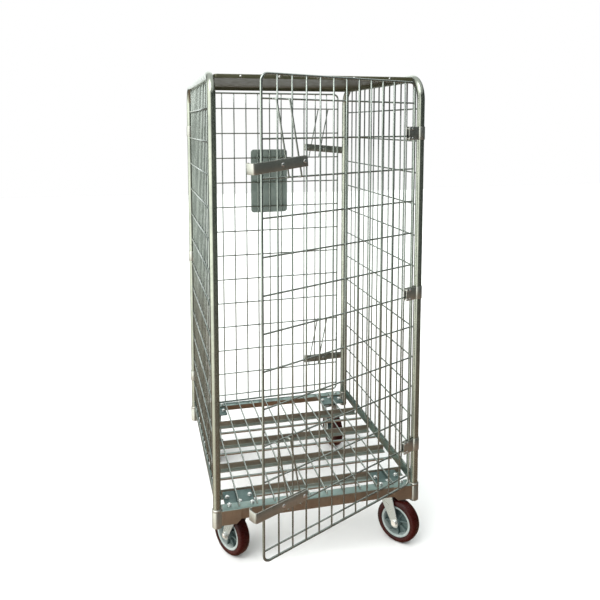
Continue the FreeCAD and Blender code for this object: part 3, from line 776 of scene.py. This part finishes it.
def build_straps(word):
    """The straps looped round the hinge post beside three of the rows, and their rivets."""
    matrix = door_matrix(word)
    body = word + "_door"
    above_row = 10 * MM
    thick = 2 * MM
    width = 45 * MM
    end = 66 * MM
    ease = 6 * MM
    reach = 13.9 * MM + thick / 2
    front = 4 * MM + thick / 2
    rear = -5.6 * MM - thick / 2
    start = math.asin(front / reach)
    finish = 2 * math.pi - math.asin(-rear / reach)
    steps = 32
    head = dome(5 * MM, 1.5 * MM)
    shank = 2.5 * MM
    straps = Shape(matrix)
    rivets = Shape(matrix)
    for row in (1, 6, 11):
        height = FIRST_ROW - row * ROW_PITCH + above_row
        loop = [Vector((end, front, height)),
                Vector((reach * math.cos(start) + ease, front, height))]
        for step in range(steps + 1):
            angle = start + (finish - start) * step / steps
            loop.append(Vector((reach * math.cos(angle), reach * math.sin(angle), height)))
        loop += [Vector((reach * math.cos(finish) + ease, rear, height)),
                 Vector((end, rear, height))]
        straps.sweep(loop, strip_section(thick, width, 0.6 * MM))
        for along in (46 * MM, 60 * MM):
            for rise in (15 * MM, -18 * MM):
                add_rivet(rivets, (along, height + rise), (front, rear), thick,
                          (head, head), shank, 20)
    straps.piece(body + "_strap_loops", STRIP, body, [body + "_hinge_straps"])
    rivets.piece(body + "_strap_rivets", FASTENER, body, [body + "_hinge_rivets"])


def build_guides(word):
    """Leaning guide rods, each bent in to the mesh at two rows and welded there."""
    matrix = door_matrix(word)
    body = word + "_door"
    reach = 2 * ROW_PITCH
    out = 13 * MM
    tip = 0.1 * MM
    bend = 6 * MM
    weld_out = 0.8 * MM
    guides = Shape(matrix)
    for row in (2, 11):
        foot = FIRST_ROW - row * ROW_PITCH
        for along in (559 * MM, 608 * MM):
            top = along + reach * math.tan(LEAN)
            path = bent([(along, tip, foot), (along, out, foot), (top, out, foot + reach),
                         (top, tip, foot + reach)], bend, 8)
            guides.tube(path, GUIDE_WIRE, 16, normal=ACROSS)
            for place in ((along, weld_out, foot), (top, weld_out, foot + reach)):
                guides.nugget(place, ACROSS, 5 * MM, 3 * MM)
    guides.piece(body + "_guides", MESH_WIRE, body, [body + "_guide_rods"])


# Each latch's height and its tilt in degrees.
LATCHES = {"upper": (1416 * MM, 5), "lower": (387 * MM, 0)}


def build_latch(word, level):
    """A folded strip hooked at one end, riveted across its fold."""
    node = f"{word}_{level}_latch"
    height, tilt = LATCHES[level]
    pivot = 583.5 * MM
    matrix = (door_matrix(word) @ Matrix.Translation((pivot, 0, height))
              @ Matrix.Rotation(math.radians(tilt), 4, "Y")
              @ Matrix.Translation((-pivot, 0, 0)))
    thick = 3 * MM
    outer = 17.5 * MM
    inner = 8.6 * MM
    width = 32 * MM
    fold = 538.5 * MM
    inner_end = 652 * MM
    hook = 740.1 * MM
    lip_end = 728 * MM
    path = bent([(inner_end, inner, 0), (fold, inner, 0), (fold, outer, 0), (hook, outer, 0),
                 (hook, -outer, 0), (lip_end, -outer, 0)],
                [0, 4.4 * MM, 4.4 * MM, 8 * MM, 7 * MM, 0], 10)
    strip = Shape(matrix)
    strip.sweep(path, strip_section(thick, width, 0.8 * MM))
    strip.piece(node + "_strip", STRIP, node, [node])
    heads = (dome(6 * MM, 2 * MM), dome(6 * MM, 1.2 * MM))
    shank = 3 * MM
    rivets = Shape(matrix)
    for along in (551 * MM, 634.5 * MM):
        add_rivet(rivets, (along, 0), (outer, inner), thick, heads, shank, 24)
    rivets.piece(node + "_rivet_heads", FASTENER, node, [node + "_rivets"])


def build_holder():
    """The document holder: a rounded plate with two raised bands."""
    low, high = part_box("document_holder")
    matrix = door_matrix("rear")
    plane = ((0, 2 * WIRE, 0), (-1, 0, 0), (0, 0, 1))
    centre = -363 * MM
    half = 86.5 * MM
    plate = Shape(matrix)
    outline = rounded_outline(rectangle(centre - half, centre + half, low.z, high.z), 14 * MM)
    plate.slab(outline, 0, 3 * MM, plane, 1 * MM)
    bands = Shape(matrix)
    half_band = 14 * MM
    margin = 12 * MM
    for side in (-1, 1):
        band = centre + side * half / 2
        outline = rounded_outline(rectangle(band - half_band, band + half_band,
                                            low.z + margin, high.z - margin), 6 * MM)
        bands.slab(outline, 2.6 * MM, 4.5 * MM, plane, 0.9 * MM)
    plate.piece("holder_plate", HOLDER, "rear_door", ["document_holder"])
    # The bands take a darker colour: painted shade.
    bands.piece("holder_bands", HOLDER_BAND_SHADE, "rear_door")


# ---------------------------------------------------------------- casters

# Each caster's end of the cage: -1 is the front, 1 the rear.
CASTERS = {"front_right": -1, "front_left": -1, "rear_right": 1, "rear_left": 1}
PLATE_HALF = 52.5 * MM
PLATE_NEAR = 318 * MM
TOP_HALF = 42.5 * MM
BOLT_X = 40 * MM
BOLT_Y = 28 * MM
NUT_TURN = 0.04
HEAD_TURN = 0.028
PIN_R = 6 * MM
TRAIL = 45 * MM
AXLE_Z = 80 * MM
AXLE_R = 6 * MM
FORK_TOP = 186 * MM
FORK_INNER = 26.5 * MM
FORK_OUTER = 30.5 * MM


def add_bolt(shape, seat, low, plate, turns):
    """A washer, nut and bolt end on a seat, and the bolt's head from low up to the plate.
    The nut and the head are turned by small angles, so that no row is exactly aligned."""
    shank = 4 * MM
    washer = 8 * MM
    nut_radius = 7.3 * MM
    shape.turn([(shank, 0), (washer, 0), (washer, 1.4 * MM), (shank, 1.4 * MM)], seat, UP, 28)
    hexagon(shape, seat + UP * 1.2 * MM, UP, nut_radius, 5 * MM, turns[0])
    shape.turn([(shank, 0), (shank, 7.9 * MM), (3.2 * MM, 8.8 * MM)], seat, UP, 20)
    head = Vector((seat.x, seat.y, low))
    hexagon(shape, head, UP, nut_radius, plate - low, turns[1])


def build_caster_mounts():
    """Corner plates, top plates, hexagon bolts with washers, and the kingpin nuts."""
    low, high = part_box("corner_plates")
    top_low, top_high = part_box("caster_top_plates")
    bolt_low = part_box("caster_bolts")[0].z
    pin_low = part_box("caster_kingpins")[0].z
    plates = Shape()
    tops = Shape()
    bolts = Shape()
    pins = Shape()
    for word, end in CASTERS.items():
        axis = Vector(JOINTS[f"caster_{word}_swivel"]["pos_m"])
        flat = ((axis.x, 0, 0), (1, 0, 0), (0, 1, 0))
        near, far = sorted((end * PLATE_NEAR, end * high.y))
        outline = rounded_outline(rectangle(-PLATE_HALF, PLATE_HALF, near, far), 4 * MM, 4)
        plates.slab(outline, low.z, high.z, flat, 0.6 * MM)
        outline = rounded_outline(rectangle(-PLATE_HALF, PLATE_HALF, axis.y - TOP_HALF,
                                            axis.y + TOP_HALF), 7 * MM, 4)
        tops.slab(outline, top_low.z, top_high.z, flat, 0.6 * MM)
        for side in (-1, 1):
            for way in (-1, 1):
                seat = Vector((axis.x + side * BOLT_X, axis.y + way * BOLT_Y,
                               DECK_TOP if way == end else high.z))
                add_bolt(bolts, seat, bolt_low, top_low.z,
                         (side * NUT_TURN, way * HEAD_TURN))
        pins.turn([(9 * MM, 0), (9 * MM, 1.6 * MM), (7.5 * MM, 2.9 * MM), (3 * MM, 3.4 * MM),
                   (0, 3.5 * MM)], (axis.x, axis.y, high.z), UP, 32)
        foot = (axis.x, axis.y, pin_low)
        hexagon(pins, foot, UP, 10 * MM, 7 * MM)
        pins.turn([(PIN_R, 6 * MM), (PIN_R, high.z - pin_low)], foot, UP, ROD_SIDES)
    plates.piece("corner_plate_sheets", PLATE, "cage", ["corner_plates"])
    tops.piece("caster_plates", PRESSING, "cage", ["caster_top_plates"])
    bolts.piece("caster_bolt_sets", FASTENER, "cage", ["caster_bolts"])
    pins.piece("caster_kingpin_nuts", FASTENER, "cage", ["caster_kingpins"])


def caster_frame(word):
    """The caster's own frame at its swivel axis, X along its heading, on the floor."""
    axis = JOINTS[f"caster_{word}_swivel"]["pos_m"]
    roll = JOINTS[f"caster_{word}_roll"]["axis"]
    heading = math.atan2(-roll[0], roll[1])
    return Matrix.Translation((axis[0], axis[1], 0)) @ Matrix.Rotation(heading, 4, "Z")


def build_fork(word):
    """The pressed fork: two tapering legs, a crown, and the swivel's ball race."""
    matrix = caster_frame(word)
    node = f"caster_{word}_fork"
    leg = rounded_outline(in_mm([(-28, 186), (31, 186), (60, 80), (58, 61), (33, 61), (30, 80)]),
                          [6 * MM, 6 * MM, 30 * MM, 12 * MM, 12 * MM, 30 * MM], 6)
    panel = inset(leg, 7.5 * MM)
    crown_thick = 6 * MM
    upright = ((0, 0, 0), (1, 0, 0), (0, 0, 1))
    level = ((0, 0, 0), (1, 0, 0), (0, 1, 0))
    fork = Shape(matrix)
    for side in (-1, 1):
        low, high = sorted((side * FORK_INNER, side * FORK_OUTER))
        fork.slab(leg, low, high, upright, 0.9 * MM)
        low, high = sorted((side * FORK_OUTER, side * (FORK_OUTER - 1.2 * MM)))
        fork.slab(panel, low - 0.4 * MM, high + 0.2 * MM, upright, 0.7 * MM)
    crown = rounded_outline(rectangle(-27 * MM, 30 * MM, -FORK_OUTER, FORK_OUTER), 4 * MM, 4)
    fork.slab(crown, FORK_TOP - crown_thick, FORK_TOP, level, 1 * MM)
    fork.piece(node + "_pressing", PRESSING, node, [node])

    race = Shape(matrix)
    race.turn(in_mm([(6.05, 0), (30, 0), (30, 3), (27, 5.5), (26, 8), (28.5, 9.5), (30, 11),
                     (30, 16.5), (28.5, 18.3), (6.05, 18.3)]), (0, 0, FORK_TOP), UP, 48,
              closed=True)
    race.piece(node + "_race", BEARING, node)


def build_wheel(word):
    """Ribbed core with hub and rim, and the tyre with its moulding line."""
    matrix = caster_frame(word)
    centre = Vector((TRAIL, 0, AXLE_Z))
    body = f"caster_{word}_wheel"
    core = Shape(matrix)
    hub_and_web = [(6.1, 26), (12, 26), (13, 25), (17, 22), (18, 7), (20, 5), (46, 4), (48, 5)]
    core.turn(in_mm(mirrored(hub_and_web)), centre, BACK, 64, closed=True)
    ribs = 8
    first_rib = 0.2
    for step in range(ribs):
        angle = 2 * math.pi * step / ribs + first_rib
        spoke = Vector((math.cos(angle), 0, math.sin(angle)))
        for side in (-1, 1):
            path = [centre + spoke * reach + BACK * side * rise
                    for reach, rise in in_mm([(16, 10), (30, 8.5), (48.5, 9)])]
            core.sweep(path, strip_section(4 * MM, 12 * MM, 1 * MM), BACK)
    core.piece(body + "_core", CORE, body, [f"caster_{word}_wheel_core"])

    rim = Shape(matrix)
    rim_half = [(47, 5), (49, 17.5), (50, 19.6), (52, 20.4), (57.6, 20.4), (57.9, 19)]
    rim.turn(in_mm(mirrored(rim_half)), centre, BACK, 72, closed=True)
    rim.piece(body + "_rim", CORE_RIM, body)

    tyre = Shape(matrix)
    tyre_half = [(58, 19.5), (58.6, 21.4), (60, 22.4), (66, 22.5), (70.5, 21.8), (74.5, 19.6),
                 (77.6, 16), (79.2, 11.5), (79.9, 6), (80, 0.8)]
    tyre.turn(in_mm(mirrored(tyre_half)), centre, BACK, 96, closed=True)
    tyre.piece(body + "_tread", TREAD, body, [f"caster_{word}_tyre"])


def build_axle(word):
    """The axle bolt, with a washer at each side of the fork, its head and its nut."""
    washer_r = 12 * MM
    washer = 1.8 * MM
    head_r = 10 * MM
    centre = Vector((TRAIL, 0, AXLE_Z))
    near = centre - BACK * FORK_OUTER
    far = centre + BACK * FORK_OUTER
    axle = Shape(caster_frame(word))
    axle.turn([(AXLE_R, -FORK_OUTER), (AXLE_R, FORK_OUTER)], centre, BACK, ROD_SIDES)
    for face, way in ((near, -BACK), (far, BACK)):
        axle.turn([(AXLE_R, 0), (washer_r, 0), (washer_r, washer), (AXLE_R, washer)], face,
                  way, 32)
    hexagon(axle, near - BACK * washer, -BACK, head_r, 5.2 * MM)
    hexagon(axle, far + BACK * washer, BACK, head_r, 6 * MM)
    axle.turn([(AXLE_R, 0), (AXLE_R, 8 * MM), (5 * MM, 9 * MM)], far, BACK, ROD_SIDES)
    axle.piece(f"caster_{word}_axle_bolt", FASTENER, f"caster_{word}_fork",
               [f"caster_{word}_axle"])


# ---------------------------------------------------------------- studio

def build_floor():
    """A plain pale floor, just below the wheels."""
    reach = 12
    mesh = bpy.data.meshes.new("studio_floor")
    mesh.from_pydata([(x, y, 0) for x, y in rectangle(-reach, reach, -reach, reach)], [],
                     [(0, 1, 2, 3)])
    floor = add_to_scene("studio_floor", mesh)
    floor.location.z = -0.2 * MM
    floor.visible_glossy = False
    material = bpy.data.materials.new("studio_floor")
    material.use_nodes = True
    shader = material.node_tree.nodes["Principled BSDF"]
    shader.inputs["Base Color"].default_value = (0.95, 0.95, 0.95, 1)
    shader.inputs["Roughness"].default_value = 0.8
    mesh.materials.append(material)


def blend(tree, factor, first, second):
    """Mix two colours, each a socket or three numbers, by a factor socket."""
    mix = add_mix(tree)
    tree.links.new(factor, mix.inputs["Factor"])
    for socket, colour in (("A", first), ("B", second)):
        if isinstance(colour, tuple):
            mix.inputs[socket].default_value = (*colour, 1)
        else:
            tree.links.new(colour, mix.inputs[socket])
    return mix.outputs["Result"]


def toward(tree, direction, way, start, end):
    """A smooth 0 to 1 factor that rises as a direction turns towards way."""
    aim = tree.nodes.new("ShaderNodeVectorMath")
    aim.operation = "DOT_PRODUCT"
    aim.inputs[1].default_value = way
    tree.links.new(direction, aim.inputs[0])
    spread = add_node(tree, "MapRange", From_Min=start, From_Max=end)
    spread.interpolation_type = "SMOOTHSTEP"
    link(tree, aim, "Value", spread, "Value")
    return spread.outputs["Result"]


def build_world():
    """A white backdrop, and a room for reflections and soft light: a bright left side, a pale
    ceiling and back opening, dark green walls elsewhere, and a brown ground."""
    world = bpy.data.worlds.new("studio")
    bpy.context.scene.world = world
    world.use_nodes = True
    tree = world.node_tree
    direction = tree.nodes.new("ShaderNodeTexCoord").outputs["Generated"]

    # Where each part of the room lies, and the two cosines between which it fades in.
    left = toward(tree, direction, (-0.97, -0.22, 0), 0.38, 0.9)
    back = toward(tree, direction, (0.10, 0.96, 0.26), 0.78, 0.95)
    above = toward(tree, direction, (0, 0, 1), -0.5, -0.15)
    ceiling = toward(tree, direction, (0, 0, 1), 0.5, 0.9)

    # Their colours, each part over the ones before it.
    walls = blend(tree, left, (0.034, 0.050, 0.045), (2.5, 2.55, 2.4))
    ground = blend(tree, left, (0.26, 0.16, 0.10), (1.30, 1.20, 1.02))
    room = blend(tree, above, ground, walls)
    room = blend(tree, ceiling, room, (0.60, 0.64, 0.62))
    room = blend(tree, back, room, (1.45, 1.52, 1.5))
    path = tree.nodes.new("ShaderNodeLightPath")
    seen = blend(tree, path.outputs["Is Camera Ray"], room, (1.0, 1.0, 1.0))
    tree.links.new(seen, tree.nodes["Background"].inputs["Color"])


def build_sun(name, way, spread, power):
    """A very soft sun that shines along way, its spread in degrees."""
    data = bpy.data.lights.new(name, "SUN")
    data.angle = math.radians(spread)
    data.energy = power
    light = add_to_scene(name, data)
    light.rotation_euler = Vector(way).to_track_quat("-Z", "Y").to_euler()


def build_camera():
    """The camera, in front of the cage and left of its centre line, near its top."""
    tilt_down = 6
    turn_right = 13.887
    data = bpy.data.cameras.new("camera")
    data.lens = 39.907
    data.sensor_width = 36
    data.shift_y = -0.1754
    camera = add_to_scene("camera", data)
    camera.location = (-0.6012, -2.5814, 1.5242)
    camera.rotation_euler = (math.radians(90 - tilt_down), 0, math.radians(-turn_right))
    bpy.context.scene.camera = camera
    bpy.context.scene.view_settings.view_transform = "Standard"


build_beams()
build_sockets()
build_gussets()
leg_places = build_cross_bars()
build_tie_rods()
build_deck_wires(leg_places)
build_side_rails()
build_side_frames()
build_side_mesh()
build_roof()
for door in ("front", "rear"):
    build_door_mesh(door)
    build_straps(door)
    build_guides(door)
    build_latch(door, "upper")
    build_latch(door, "lower")
build_holder()
build_caster_mounts()
for corner_name in CASTERS:
    build_fork(corner_name)
    build_wheel(corner_name)
    build_axle(corner_name)
build_floor()
build_world()
build_sun("key", (0.55, 0.45, -1), 50, 1.9)
build_sun("top", (0, 0, -1), 120, 1.3)
build_camera()
